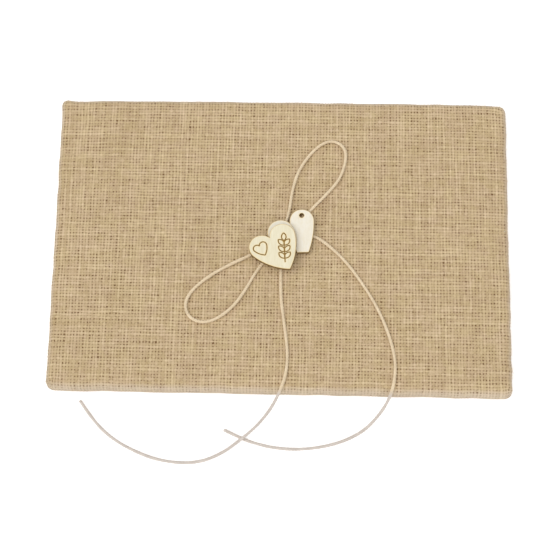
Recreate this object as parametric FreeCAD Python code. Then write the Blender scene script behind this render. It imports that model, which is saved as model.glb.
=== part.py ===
import FreeCAD, Part
import math
import os

# Ring bearer pillow: a flat burlap pad that carries a twine bow, two wooden hearts and a wooden tag.
# Origin: centre of the pad's underside. +X to the right, +Y to the back edge, +Z up. Millimetres.

Vec = FreeCAD.Vector
UP = Vec(0, 0, 1)

# The pad
PAD_WIDTH = 250.0
PAD_DEPTH = 170.0
PAD_HEIGHT = 11.0
SEAM_HEIGHT = 5.0
CORNER_RADIUS = 4.5
TOP_EDGE_RADIUS = 3.5
BOTTOM_EDGE_RADIUS = 3.0
BURLAP = 0.9
LINING = 0.3
SEAM_GAP = 0.6
BOARD = 2.0
FILLING_MARGIN = 1.3
FOAM_EDGE = 2.0

# The threads
SEAM_THREAD = 0.5
STITCH_THREAD = 0.5
STITCH_PITCH = 6.0
CLOSING_LENGTH = 84.0
TACK_THREAD = 0.4

# The bow
TWINE = 1.7
ON_PAD = PAD_HEIGHT + TWINE / 2 + 0.05
ON_TABLE = TWINE / 2 + 0.05
KNOT_RADIUS = 3.1
KNOT_HEIGHT = 3.0
FIRST_RUN = 6.2
UPPER_LOOP_EXITS = (80.0, 45.0)
LOWER_LOOP_EXITS = (198.0, 233.0)
RIGHT_TAIL_EXIT = 10.0
LEFT_TAIL_EXIT = 270.0
SPARE_KNOT_SIDES = (320.0, 139.0)

# The wood
WOOD = 2.0
WOOD_CHAMFER = 0.15
GROOVE_DEPTH = 0.35
GROOVE_WIDTH = 0.6
KNOT_GLUE = 0.95
HEART_GLUE = 0.2
REAR_HEART_BASE = PAD_HEIGHT + KNOT_HEIGHT + KNOT_GLUE
FRONT_HEART_BASE = REAR_HEART_BASE + WOOD + HEART_GLUE
TAG_BASE = PAD_HEIGHT + TWINE + 0.2

# A heart: half the distance between the lobes, their height over the tip, their radius, and the
# angle below the level at which a lobe meets the side
FRONT_HEART = (6.5, 18.8, 6.95, 20.0)
FRONT_HEART_TIP = (4.9, -19.0)
FRONT_HEART_ANGLE = 122.3
REAR_HEART = (6.0, 12.2, 7.3, 25.0)
REAR_HEART_TIP = (7.0, -8.1)
REAR_HEART_ANGLE = 150.0
SMALL_HEART_SCALE = 0.29
SMALL_HEART_TIP = (-8.7, -11.1)

# The sprig beside the small heart: a stem with leaves in pairs and one at its end
SPRIG_FOOT = (2.2, -15.1)
SPRIG_ANGLE = 94.0
SPRIG_STEM = 13.2
SPRIG_PAIRS = (2.4, 6.2, 10.0)
LEAF_LENGTH = 4.5
LEAF_WIDTH = 2.5
LEAF_SPREAD = 42.0

# The tag: centre of its round top, its half widths, its height and its lean
TAG_CENTRE = (10.8, 11.3)
TAG_RADIUS = 6.6
TAG_DROP = 18.8
TAG_FOOT = 3.2
TAG_ANGLE = 92.7
TAG_HOLE = 1.4
TAG_HOLE_UP = 3.0

# Twine routes: x, y and height. Each begins, and a loop also ends, with a straight run at the knot.
UPPER_LOOP = [
    (3.9, 17.8, ON_PAD + 0.1),
    (4.9, 28.5, ON_PAD + 0.7),
    (8.0, 41.5, ON_PAD + 0.4),
    (14.8, 53.0, ON_PAD + 0.1),
    (22.4, 60.3, ON_PAD),
    (29.4, 60.9, ON_PAD + 0.1),
    (34.6, 56.0, ON_PAD + 0.4),
    (34.7, 48.0, ON_PAD + 0.7),
    (31.7, 37.8, ON_PAD + 0.9),
    (25.0, 29.0, ON_PAD + 0.6),
    (14.6, 17.9, ON_PAD),
]
LOWER_LOOP = [
    (-17.0, -8.6, ON_PAD + 0.1),
    (-27.5, -14.0, ON_PAD + 0.5),
    (-38.5, -20.8, ON_PAD + 0.8),
    (-48.3, -29.4, ON_PAD + 0.5),
    (-52.0, -37.3, ON_PAD + 0.2),
    (-49.6, -44.9, ON_PAD),
    (-42.5, -48.3, ON_PAD),
    (-34.5, -46.2, ON_PAD + 0.2),
    (-25.5, -38.9, ON_PAD + 0.6),
    (-18.8, -28.6, ON_PAD + 0.8),
    (-13.1, -16.9, ON_PAD + 0.2),
]
LEFT_TAIL = [
    (-0.2, -19.5, ON_PAD + 0.1),
    (0.2, -34.0, ON_PAD),
    (2.6, -50.0, ON_PAD + 0.1),
    (4.7, -66.0, ON_PAD + 0.2),
    (2.4, -80.0, ON_PAD + 1.1),
    (-1.6, -90.0, ON_PAD + 1.3),
    (-5.6, -97.8, ON_PAD - 2.0),
    (-11.8, -104.9, ON_PAD - 4.2),
    (-19.8, -111.6, ON_PAD - 6.0),
    (-29.0, -118.0, ON_TABLE + 2.3),
    (-39.6, -122.2, ON_TABLE),
    (-50.5, -123.4, ON_TABLE),
    (-63.5, -121.8, ON_TABLE),
    (-75.5, -117.5, ON_TABLE),
    (-88.0, -110.8, ON_TABLE),
    (-98.8, -101.0, ON_TABLE),
    (-106.6, -89.7, ON_TABLE),
]
RIGHT_TAIL = [
    (16.6, 4.4, ON_PAD),
    (25.6, -1.8, ON_PAD + 0.2),
    (35.6, -11.7, ON_PAD),
    (44.6, -24.5, ON_PAD + 0.1),
    (52.6, -38.0, ON_PAD),
    (58.8, -53.2, ON_PAD + 0.1),
    (62.2, -67.5, ON_PAD + 0.2),
    (61.2, -80.5, ON_PAD + 1.2),
    (58.4, -90.2, ON_PAD + 1.2),
    (54.0, -97.8, ON_PAD - 3.4),
    (46.5, -104.4, ON_TABLE + 2.6),
    (36.0, -109.5, ON_TABLE),
    (24.0, -113.2, ON_TABLE),
    (10.5, -114.9, ON_TABLE),
    (-2.5, -114.1, ON_TABLE),
    (-14.0, -111.3, ON_TABLE),
    (-21.8, -108.0, ON_TABLE),
    (-28.8, -104.6, ON_TABLE),
]


def save(name, shape):
    """Write one piece as its own STEP file."""
    shape.exportStep("parts/" + name + ".step")


def direction(degrees):
    """Unit vector in the plan at an angle from +X."""
    return Vec(math.cos(math.radians(degrees)), math.sin(math.radians(degrees)), 0)


def placed(shape, at, degrees):
    """A shape whose +Y lies along the angle, with its origin at a point."""
    shape.rotate(Vec(0, 0, 0), UP, degrees - 90.0)
    shape.translate(Vec(*at))
    return shape


def slab(width, depth, low, high, corner, top_radius=0.0, bottom_radius=0.0):
    """A plate with round corners in plan and round edges above and below."""
    plate = Part.makeBox(width, depth, high - low, Vec(-width / 2, -depth / 2, low))
    upright = [e for e in plate.Edges if e.BoundBox.ZLength > 0.5 * (high - low)]
    plate = plate.makeFillet(corner, upright)
    for radius, level in ((top_radius, high), (bottom_radius, low)):
        if radius:
            rim = [e for e in plate.Edges
                   if abs(e.BoundBox.ZMin - level) < 0.01 and abs(e.BoundBox.ZMax - level) < 0.01]
            plate = plate.makeFillet(radius, rim)
    return plate


def shell_of(skin, inset, low, high):
    """A closed skin of one thickness that lies inset from the pad's outside."""
    def body(extra):
        gap = inset + extra
        return slab(PAD_WIDTH - 2 * gap, PAD_DEPTH - 2 * gap, low + extra, high - extra,
                    CORNER_RADIUS - gap, TOP_EDGE_RADIUS - gap, BOTTOM_EDGE_RADIUS - gap)
    return body(0.0).cut(body(skin))


def halves(skin):
    """The parts of a skin above and below the seam."""
    upper = Part.makeBox(PAD_WIDTH, PAD_DEPTH, PAD_HEIGHT,
                         Vec(-PAD_WIDTH / 2, -PAD_DEPTH / 2, SEAM_HEIGHT))
    return skin.common(upper), skin.cut(upper)


def ring_thread(width, depth, corner, thread, level):
    """A round thread laid along a rectangle with round corners."""
    outline = slab(width, depth, level - 1.0, level, corner)
    top = [f for f in outline.Faces if abs(f.CenterOfMass.z - level) < 0.01][0]
    path = top.OuterWire
    start = path.Edges[0]
    profile = Part.Wire([Part.makeCircle(thread / 2, start.valueAt(start.FirstParameter),
                                         start.tangentAt(start.FirstParameter))])
    return path.makePipeShell([profile], True, False)


def closing_bars():
    """Short upright stitches, flush with the back edge, across the seam."""
    count = int(CLOSING_LENGTH / STITCH_PITCH) + 1
    bars = []
    for i in range(count):
        x = (i - (count - 1) / 2) * STITCH_PITCH
        corner = Vec(x - STITCH_THREAD / 2, PAD_DEPTH / 2 - STITCH_THREAD, SEAM_HEIGHT - 1.1)
        bars.append(Part.makeBox(STITCH_THREAD, STITCH_THREAD, 2.2, corner))
    return Part.makeCompound(bars)


def tack():
    """A flat thread over the knot, with two legs down through the panel and a bar under it."""
    reach = KNOT_RADIUS + 1.6
    low = PAD_HEIGHT - BURLAP - LINING - TACK_THREAD
    high = PAD_HEIGHT + KNOT_HEIGHT + TACK_THREAD
    outer = Part.makeBox(2 * reach, TACK_THREAD, high - low, Vec(-reach, -TACK_THREAD / 2, low))
    inner = Part.makeBox(2 * (reach - TACK_THREAD), TACK_THREAD, high - low - 2 * TACK_THREAD,
                         Vec(-reach + TACK_THREAD, -TACK_THREAD / 2, low + TACK_THREAD))
    loop = outer.cut(inner)
    loop.rotate(Vec(0, 0, 0), UP, SPARE_KNOT_SIDES[1])
    return loop


def knot():
    """A low block with one flat side square to each strand that leaves it."""
    block = Part.makeBox(30, 30, KNOT_HEIGHT, Vec(-15, -15, PAD_HEIGHT))
    sides = UPPER_LOOP_EXITS + LOWER_LOOP_EXITS + (RIGHT_TAIL_EXIT, LEFT_TAIL_EXIT) + SPARE_KNOT_SIDES
    for degrees in sides:
        waste = Part.makeBox(60, 60, 3 * KNOT_HEIGHT, Vec(KNOT_RADIUS, -30, PAD_HEIGHT - KNOT_HEIGHT))
        waste.rotate(Vec(0, 0, 0), UP, degrees)
        block = block.cut(waste)
    return block


def knot_run(degrees):
    """The point on the knot's side that a strand leaves, and the end of its first straight run."""
    start, end = direction(degrees) * KNOT_RADIUS, direction(degrees) * (KNOT_RADIUS + FIRST_RUN)
    return [(start.x, start.y, ON_PAD), (end.x, end.y, ON_PAD)]


def tube(name, route):
    """Twine as straight runs joined by tangent arcs, as large as the runs allow."""
    points = [Vec(*p) for p in route]
    edges = []
    radii = []
    at = points[0]
    for before, corner, after in zip(points, points[1:], points[2:]):
        inward = (corner - before).normalize()
        outward = (after - corner).normalize()
        half_turn = inward.getAngle(outward) / 2
        back = 0.45 * min(before.distanceToPoint(corner), corner.distanceToPoint(after))
        radius = back / math.tan(half_turn)
        first = corner - inward * back
        last = corner + outward * back
        towards_centre = (outward - inward).normalize()
        middle = corner + towards_centre * (radius / math.cos(half_turn) - radius)
        edges.append(Part.LineSegment(at, first).toShape())
        edges.append(Part.Arc(first, middle, last).toShape())
        radii.append(radius)
        at = last
    edges.append(Part.LineSegment(at, points[-1]).toShape())
    path = Part.Wire(edges)
    profile = Part.Wire([Part.makeCircle(TWINE / 2, points[0], points[1] - points[0])])
    solid = path.makePipeShell([profile], True, False)
    expected = math.pi * (TWINE / 2) ** 2 * path.Length
    print(name, "length %.1f" % path.Length, "volume ratio %.4f" % (solid.Volume / expected),
          "least radius %.1f" % min(radii), "radii", " ".join("%.0f" % r for r in radii))
    save(name, solid)


def heart_wire(shape, scale=1.0):
    """Heart with its tip at the origin and its notch on +Y: two lobe arcs and two side arcs."""
    apart, rise, lobe, meet = shape
    apart, rise, lobe = apart * scale, rise * scale, lobe * scale
    c, s = math.cos(math.radians(meet)), math.sin(math.radians(meet))
    # the side arc touches the lobe and ends in the tip
    reach = (apart ** 2 + rise ** 2 - lobe ** 2) / (2 * (lobe + apart * c - rise * s))
    centre = Vec(apart - reach * c, rise + reach * s, 0)
    radius = reach + lobe
    join = Vec(apart + lobe * c, rise - lobe * s, 0)
    tip_angle = math.atan2(-centre.y, -centre.x)
    halfway = (tip_angle - math.radians(meet)) / 2
    side_middle = centre + Vec(math.cos(halfway), math.sin(halfway), 0) * radius
    notch = Vec(0, rise + math.sqrt(lobe ** 2 - apart ** 2), 0)
    lobe_middle = Vec(apart, rise, 0) + direction(65.0) * lobe
    tip = Vec(0, 0, 0)
    right = [Part.Arc(tip, side_middle, join), Part.Arc(join, lobe_middle, notch)]

    def mirror(p):
        return Vec(-p.x, p.y, 0)

    left = [Part.Arc(notch, mirror(lobe_middle), mirror(join)),
            Part.Arc(mirror(join), mirror(side_middle), tip)]
    return Part.Wire([arc.toShape() for arc in right + left])


def cut_from_sheet(wire, base, thickness, at, degrees):
    """A flat piece with the outline, with its upper edge broken by a small chamfer."""
    body = Part.Face(wire).extrude(Vec(0, 0, thickness - WOOD_CHAMFER))
    lower = wire.copy()
    lower.translate(Vec(0, 0, thickness - WOOD_CHAMFER))
    upper = wire.makeOffset2D(-WOOD_CHAMFER)
    upper.translate(Vec(0, 0, thickness))
    edge = Part.makeLoft([lower, upper], True, True)
    return placed(body.fuse(edge).removeSplitter(), (at[0], at[1], base), degrees)


def groove(outline, width, at, degrees, top):
    """The line of a given width that follows a closed outline, sunk below the top."""
    outer = Part.Face(outline.makeOffset2D(width / 2))
    inner = Part.Face(outline.makeOffset2D(-width / 2))
    line = outer.cut(inner).extrude(Vec(0, 0, GROOVE_DEPTH + 1.0))
    return placed(line, (at[0], at[1], top - GROOVE_DEPTH), degrees)


def leaf_wire():
    """A leaf along +Y from the origin: two equal arcs."""
    root, end = Vec(0, 0, 0), Vec(0, LEAF_LENGTH, 0)
    right = Part.Arc(root, Vec(LEAF_WIDTH / 2, LEAF_LENGTH / 2, 0), end)
    left = Part.Arc(end, Vec(-LEAF_WIDTH / 2, LEAF_LENGTH / 2, 0), root)
    return Part.Wire([right.toShape(), left.toShape()])


def sprig(top):
    """The sunk lines of a small sprig: its stem, and open leaves up to its end."""
    along = direction(SPRIG_ANGLE)
    foot = Vec(SPRIG_FOOT[0], SPRIG_FOOT[1], 0)
    stem = Part.makeBox(GROOVE_WIDTH, SPRIG_STEM, GROOVE_DEPTH + 1.0, Vec(-GROOVE_WIDTH / 2, 0, 0))
    lines = [placed(stem, (foot.x, foot.y, top - GROOVE_DEPTH), SPRIG_ANGLE)]
    leaves = [(up, SPRIG_ANGLE + side * LEAF_SPREAD) for up in SPRIG_PAIRS for side in (-1, 1)]
    leaves.append((SPRIG_STEM - GROOVE_WIDTH, SPRIG_ANGLE))
    for up, degrees in leaves:
        at = foot + along * up
        lines.append(groove(leaf_wire(), GROOVE_WIDTH, (at.x, at.y), degrees, top))
    return lines


def tag_wire():
    """Tag with the centre of its round top at the origin and its flat foot towards -Y."""
    bulge = ((TAG_RADIUS - TAG_FOOT) ** 2 + TAG_DROP ** 2) / (2 * (TAG_RADIUS - TAG_FOOT))
    halfway = math.asin(TAG_DROP / bulge) / 2
    side = Vec(TAG_RADIUS - bulge * (1 - math.cos(halfway)), -bulge * math.sin(halfway), 0)
    foot = Vec(TAG_FOOT, -TAG_DROP, 0)
    shoulder = Vec(TAG_RADIUS, 0, 0)
    crown = Part.Arc(shoulder, Vec(0, TAG_RADIUS, 0), Vec(-TAG_RADIUS, 0, 0))
    right = Part.Arc(foot, side, shoulder)
    left = Part.Arc(Vec(-TAG_RADIUS, 0, 0), Vec(-side.x, side.y, 0), Vec(-TAG_FOOT, -TAG_DROP, 0))
    base = Part.LineSegment(Vec(-TAG_FOOT, -TAG_DROP, 0), foot)
    return Part.Wire([edge.toShape() for edge in (right, crown, left, base)])


def make_pad():
    """Burlap cover, lining, filling, board and the threads that close the cover."""
    stitches = closing_bars()
    tacking = tack()
    front, back = halves(shell_of(BURLAP, 0.0, 0.0, PAD_HEIGHT))
    save("front_panel", front.cut(stitches).cut(tacking))
    save("back_panel", back.cut(stitches))
    inset = BURLAP + SEAM_GAP
    front, back = halves(shell_of(LINING, inset, BURLAP, PAD_HEIGHT - BURLAP))
    save("front_lining", front.cut(tacking))
    save("back_lining", back)
    inside = inset + LINING + FILLING_MARGIN
    floor = BURLAP + LINING
    save("stiffener_board", slab(PAD_WIDTH - 2 * inside, PAD_DEPTH - 2 * inside, floor, floor + BOARD,
                                 CORNER_RADIUS))
    foam = slab(PAD_WIDTH - 2 * inside, PAD_DEPTH - 2 * inside, floor + BOARD,
                PAD_HEIGHT - BURLAP - LINING, CORNER_RADIUS, FOAM_EDGE)
    save("foam_pad", foam.cut(tacking))
    thread_inset = BURLAP + SEAM_GAP / 2
    save("edge_seam", ring_thread(PAD_WIDTH - 2 * thread_inset, PAD_DEPTH - 2 * thread_inset,
                                  CORNER_RADIUS - thread_inset, SEAM_THREAD, SEAM_HEIGHT))
    save("closing_stitches", stitches)
    save("tacking_stitch", tacking)


def make_bow():
    """The knot and the four strands of twine that leave it."""
    save("bow_knot", knot())
    for name, exits, middle in (("upper_loop", UPPER_LOOP_EXITS, UPPER_LOOP),
                                ("lower_loop", LOWER_LOOP_EXITS, LOWER_LOOP)):
        tube(name, knot_run(exits[0]) + middle + knot_run(exits[1])[::-1])
    tube("left_tail", knot_run(LEFT_TAIL_EXIT) + LEFT_TAIL)
    tube("right_tail", knot_run(RIGHT_TAIL_EXIT) + RIGHT_TAIL)


def make_wood():
    """The two hearts, the tag and the glue that holds them."""
    front = cut_from_sheet(heart_wire(FRONT_HEART), FRONT_HEART_BASE, WOOD,
                           FRONT_HEART_TIP, FRONT_HEART_ANGLE)
    top = FRONT_HEART_BASE + WOOD
    small = groove(heart_wire(FRONT_HEART, SMALL_HEART_SCALE), GROOVE_WIDTH,
                   SMALL_HEART_TIP, FRONT_HEART_ANGLE, top)
    save("front_heart", front.cut([small] + sprig(top)))
    save("rear_heart", cut_from_sheet(heart_wire(REAR_HEART), REAR_HEART_BASE, WOOD,
                                      REAR_HEART_TIP, REAR_HEART_ANGLE))
    tag = cut_from_sheet(tag_wire(), TAG_BASE, WOOD, TAG_CENTRE, TAG_ANGLE)
    hole = Vec(*TAG_CENTRE, 0) + direction(TAG_ANGLE) * TAG_HOLE_UP
    save("tag", tag.cut(Part.makeCylinder(TAG_HOLE, 3 * WOOD, Vec(hole.x, hole.y, TAG_BASE - WOOD))))
    knot_glue = Part.makeCylinder(2.6, KNOT_GLUE, Vec(0, 0, PAD_HEIGHT + KNOT_HEIGHT))
    save("glue_rear_heart", knot_glue.cut(tack()))
    save("glue_front_heart", Part.makeCylinder(4.0, HEART_GLUE, Vec(-1.0, -1.0, REAR_HEART_BASE + WOOD)))
    save("glue_tag", Part.makeCylinder(1.6, TAG_BASE - PAD_HEIGHT, Vec(12.8, 9.0, PAD_HEIGHT)))


os.makedirs("parts", exist_ok=True)
make_pad()
make_bow()
make_wood()
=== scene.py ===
import math

import bpy
import numpy as np
from mathutils import Matrix, Vector


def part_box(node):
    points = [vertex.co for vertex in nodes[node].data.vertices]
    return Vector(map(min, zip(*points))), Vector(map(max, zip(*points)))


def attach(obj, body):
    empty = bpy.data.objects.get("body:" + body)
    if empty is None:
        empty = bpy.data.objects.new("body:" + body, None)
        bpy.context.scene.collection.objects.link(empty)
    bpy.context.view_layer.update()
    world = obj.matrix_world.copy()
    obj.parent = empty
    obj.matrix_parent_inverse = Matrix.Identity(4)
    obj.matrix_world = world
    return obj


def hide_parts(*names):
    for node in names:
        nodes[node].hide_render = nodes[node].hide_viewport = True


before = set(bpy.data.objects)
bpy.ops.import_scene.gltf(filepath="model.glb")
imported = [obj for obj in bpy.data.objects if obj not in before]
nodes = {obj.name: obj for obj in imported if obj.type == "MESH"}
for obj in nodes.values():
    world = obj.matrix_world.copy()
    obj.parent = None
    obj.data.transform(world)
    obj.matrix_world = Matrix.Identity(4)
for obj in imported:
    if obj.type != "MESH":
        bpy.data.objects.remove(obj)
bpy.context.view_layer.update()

# Ring bearer pillow: a flat burlap pad with a twine bow, two wooden hearts and a wooden tag.
# Metres, in the frame of the CAD model. +X to the right, +Y to the back edge, +Z up.

MM = 0.001
scene = bpy.context.scene

# ---------------------------------------------------------------- the camera

CAMERA_TARGET = Vector((-0.00071, -0.01816, 0.0))
CAMERA_DISTANCE = 1.0012
CAMERA_AZIMUTH = math.radians(-2.64)
CAMERA_ELEVATION = math.radians(69.0)
CAMERA_ROLL = math.radians(-1.55)
CAMERA_LENS = 116.9


def make_camera():
    """The camera looks down on the pad from in front of it."""
    azimuth, elevation = CAMERA_AZIMUTH, CAMERA_ELEVATION
    forward = Vector((math.sin(azimuth) * math.cos(elevation),
                      math.cos(azimuth) * math.cos(elevation),
                      -math.sin(elevation)))
    level = Vector((math.cos(azimuth), -math.sin(azimuth), 0.0))
    upward = level.cross(forward)
    right = level * math.cos(CAMERA_ROLL) + upward * math.sin(CAMERA_ROLL)
    up = upward * math.cos(CAMERA_ROLL) - level * math.sin(CAMERA_ROLL)
    lens = bpy.data.cameras.new("camera")
    lens.lens = CAMERA_LENS
    lens.sensor_width = 36.0
    camera = bpy.data.objects.new("camera", lens)
    scene.collection.objects.link(camera)
    turn = Matrix((right, up, -forward)).transposed().to_4x4()
    camera.matrix_world = Matrix.Translation(CAMERA_TARGET - forward * CAMERA_DISTANCE) @ turn
    scene.camera = camera


# ---------------------------------------------------------------- node materials

BUMP_BURLAP = 0.13 * MM
# Painted shade: where the twine is still as warm as on the burlap, and where it is all painted grey, along Y
WARM_TO = -84.5 * MM
GREY_FROM = -88.0 * MM
WOOD_RIM = 0.9 * MM
FLOOR_LIGHT = 0.30


class Nodes:
    """Builds one material. Each method adds a node and gives back its output socket."""

    def __init__(self, name, roughness, specular=0.25):
        self.material = bpy.data.materials.new(name)
        self.material.use_nodes = True
        self.tree = self.material.node_tree
        self.shader = self.tree.nodes["Principled BSDF"]
        self.shader.inputs["Roughness"].default_value = roughness
        self.shader.inputs["Specular IOR Level"].default_value = specular

    def feed(self, socket, value):
        """Sets a socket to a number or a colour, or links it to another socket."""
        if isinstance(value, bpy.types.NodeSocket):
            self.tree.links.new(value, socket)
        else:
            socket.default_value = value

    def add(self, kind, **settings):
        node = self.tree.nodes.new(kind)
        for name, value in settings.items():
            setattr(node, name, value)
        return node

    def calculate(self, operation, *values):
        """A Math node."""
        node = self.add("ShaderNodeMath", operation=operation)
        for socket, value in zip(node.inputs, values):
            self.feed(socket, value)
        return node.outputs[0]

    def plus(self, first, second):
        return self.calculate("ADD", first, second)

    def minus(self, first, second):
        return self.calculate("SUBTRACT", first, second)

    def times(self, first, second):
        return self.calculate("MULTIPLY", first, second)

    def attribute(self, name):
        """The three parts of a vector stored on the mesh."""
        return self.split(self.add("ShaderNodeAttribute", attribute_name=name).outputs["Vector"])

    def split(self, vector):
        node = self.add("ShaderNodeSeparateXYZ")
        self.feed(node.inputs[0], vector)
        return node.outputs[0], node.outputs[1], node.outputs[2]

    def join(self, x, y, z):
        node = self.add("ShaderNodeCombineXYZ")
        for socket, value in zip(node.inputs, (x, y, z)):
            self.feed(socket, value)
        return node.outputs[0]

    def place(self):
        """Where the point is, in metres, in the object's own frame."""
        return self.add("ShaderNodeTexCoord").outputs["Object"]

    def scaled(self, vector, by, turn=0.0):
        """A vector turned about Z and stretched by a factor on each axis."""
        node = self.add("ShaderNodeMapping")
        node.inputs["Scale"].default_value = by
        node.inputs["Rotation"].default_value = (0.0, 0.0, turn)
        self.feed(node.inputs["Vector"], vector)
        return node.outputs[0]

    def noise(self, vector, scale, detail=2.0, roughness=0.5):
        node = self.add("ShaderNodeTexNoise")
        self.feed(node.inputs["Vector"], vector)
        node.inputs["Scale"].default_value = scale
        node.inputs["Detail"].default_value = detail
        node.inputs["Roughness"].default_value = roughness
        return node.outputs[0]

    def random(self, value):
        """A number from 0 to 1 that depends only on the given number."""
        node = self.add("ShaderNodeTexWhiteNoise", noise_dimensions="1D")
        self.feed(node.inputs["W"], value)
        return node.outputs[0]

    def span(self, value, low, high, to_low=0.0, to_high=1.0):
        """Maps low..high to to_low..to_high, and holds the ends."""
        node = self.add("ShaderNodeMapRange", clamp=True)
        self.feed(node.inputs["Value"], value)
        for socket, bound in zip(("From Min", "From Max", "To Min", "To Max"),
                                 (low, high, to_low, to_high)):
            self.feed(node.inputs[socket], bound)
        return node.outputs[0]

    def blend(self, amount, first, second, kind="MIX"):
        """Mixes two colours."""
        node = self.add("ShaderNodeMix", data_type="RGBA", blend_type=kind)
        self.feed(node.inputs[0], amount)
        self.feed(node.inputs[6], first)
        self.feed(node.inputs[7], second)
        return node.outputs[2]

    def finish(self, colour, height=None, depth=0.0, strength=1.0):
        """Links the colour, and the bump where there is one. depth is the bump's height in metres."""
        self.feed(self.shader.inputs["Base Color"], colour)
        if height is not None:
            bump = self.add("ShaderNodeBump")
            bump.inputs["Strength"].default_value = strength
            bump.inputs["Distance"].default_value = depth
            self.feed(bump.inputs["Height"], height)
            self.feed(self.shader.inputs["Normal"], bump.outputs[0])
        return self.material


def srgb(red, green, blue):
    """A colour from 0 to 255 as the linear RGBA that a shader takes."""
    linear = [(c / 255 / 12.92) if c <= 10 else ((c / 255 + 0.055) / 1.055) ** 2.4
              for c in (red, green, blue)]
    return (*linear, 1.0)


def burlap_material():
    """Plain weave of jute threads. The mesh holds the thread numbers, how much wider than even
    each gap is, and how near the seam each point is."""
    m = Nodes("burlap", roughness=0.95, specular=0.1)
    across, along, _ = m.attribute("weave")
    wide_x, wide_y, side = m.attribute("gaps")
    warp, weft = m.calculate("FLOOR", across), m.calculate("FLOOR", along)
    off_warp = m.minus(m.minus(across, warp), 0.5)
    off_weft = m.minus(m.minus(along, weft), 0.5)

    def thread(number, off, run, gap, seed):
        """Roundness, tone, fibres and a painted highlight along the crowns of one set of threads."""
        key = m.plus(m.times(number, 7.31), seed)
        swell = m.noise(m.join(key, m.times(run, 0.45), seed), 1.0, 2.0)
        half = m.minus(m.span(swell, 0.30, 0.70, 0.27, 0.50),
                     m.times(gap, 0.40))
        reach = m.calculate("DIVIDE", m.calculate("ABSOLUTE", off), half)
        inside = m.calculate("MAXIMUM", m.minus(1.0, m.times(reach, reach)), 0.0)
        shape = m.calculate("SQRT", inside)
        fine = m.join(m.times(off, 8.0), m.times(run, 1.6), key)
        fibre = m.noise(fine, 1.0, 3.0, 0.65)
        # Painted highlight: a pale line along the middle of each thread, stronger on some stretches than on
        # others.
        highlight_strength = m.noise(m.join(key, m.times(run, 0.07), seed), 1.0, 1.0)
        crown_highlight = m.times(m.times(inside, inside), m.span(highlight_strength, 0.36, 0.66))
        tone = m.plus(m.times(m.random(key), 0.08),
                     m.plus(m.times(fibre, 0.66), m.times(swell, 0.09)))
        return shape, tone, fibre, crown_highlight

    warp_shape, warp_tone, warp_fibre, warp_crown_highlight = thread(warp, off_warp, along, wide_x, 3.7)
    weft_shape, weft_tone, weft_fibre, weft_crown_highlight = thread(weft, off_weft, across, wide_y, 91.3)
    turn = m.calculate("COSINE", m.times(m.plus(warp, weft), math.pi))
    warp_rise = m.times(turn, m.calculate("COSINE", m.times(off_weft, math.pi)))
    weft_rise = m.times(m.times(turn, -1.0),
                      m.calculate("COSINE", m.times(off_warp, math.pi)))

    def height(rise, shape):
        """Height of a thread's top; far down where the thread isn't."""
        there = m.span(shape, 0.0, 0.25)
        raised = m.plus(m.times(rise, 0.42), m.times(shape, 0.6))
        return m.minus(m.times(m.plus(raised, 1.0), there), 1.0)

    warp_height, weft_height = height(warp_rise, warp_shape), height(weft_rise, weft_shape)
    top = m.calculate("GREATER_THAN", warp_height, weft_height)
    surface = m.calculate("MAXIMUM", warp_height, weft_height)
    tone = m.plus(m.times(top, warp_tone),
                 m.times(m.minus(1.0, top), weft_tone))
    crown = m.random(m.plus(m.times(warp, 3.71), m.times(weft, 11.93)))
    # The painted highlights along the thread crowns are added to the tone.
    lines = m.plus(m.times(warp_crown_highlight, 0.15), m.times(weft_crown_highlight, 0.15))
    tone = m.plus(m.plus(tone, lines), m.times(crown, 0.04))
    dark_jute, pale_jute = srgb(166, 143, 107), srgb(230, 212, 180)
    colour = m.blend(m.span(tone, 0.26, 0.88), dark_jute, pale_jute)
    patch = m.noise(m.place(), 150.0, 3.0, 0.6)
    colour = m.blend(1.0, colour, m.blend(m.span(patch, 0.38, 0.62), srgb(255, 252, 243),
                                          srgb(255, 250, 249)), "MULTIPLY")
    slub = m.noise(m.join(m.times(across, 0.35), m.times(weft, 1.3), 5.0), 1.0, 2.0)
    colour = m.blend(m.span(slub, 0.72, 0.80, 0.0, 0.5), colour, srgb(150, 114, 72))
    # Painted shade: the holes between the threads are darkened, more where the cloth lies low and a little
    # less near the seam, with a random share for each hole.
    hole = m.random(m.plus(m.times(m.calculate("FLOOR", m.plus(across, 0.5)), 13.7),
                          m.times(m.calculate("FLOOR", m.plus(along, 0.5)), 5.93)))
    painted_hole_shade = m.times(m.span(surface, -0.45, 0.55, 1.0, 0.0), m.span(hole, 0.0, 1.0, 0.5, 1.0))
    painted_hole_shade = m.times(painted_hole_shade, m.span(side, 0.1, 0.6, 1.0, 0.7))
    # Painted light: the sides are painted paler than the top, most of all near the table, as if lit by light
    # thrown up from the table.
    _, _, level = m.split(m.place())
    share = m.span(level, 1.0 * MM, 5.0 * MM, 0.68, 0.36)
    painted_side_light = m.times(m.span(side, 0.04, 0.4), share)
    painted_foot_light = m.times(m.span(side, 0.0, 0.12), m.span(level, 0.6 * MM, 3.5 * MM, 0.8, 0.0))
    colour = m.blend(m.calculate("MAXIMUM", painted_side_light, painted_foot_light), colour, srgb(203, 193, 183))
    # The painted shade in the holes is multiplied in last.
    colour = m.blend(painted_hole_shade, colour, m.blend(1.0, colour, srgb(132, 96, 58), "MULTIPLY"))
    bump = m.plus(surface, m.times(m.plus(warp_fibre, weft_fibre), 0.25))
    m.shader.inputs["Sheen Weight"].default_value = 0.12
    return m.finish(colour, bump, BUMP_BURLAP, 0.7)


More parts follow.
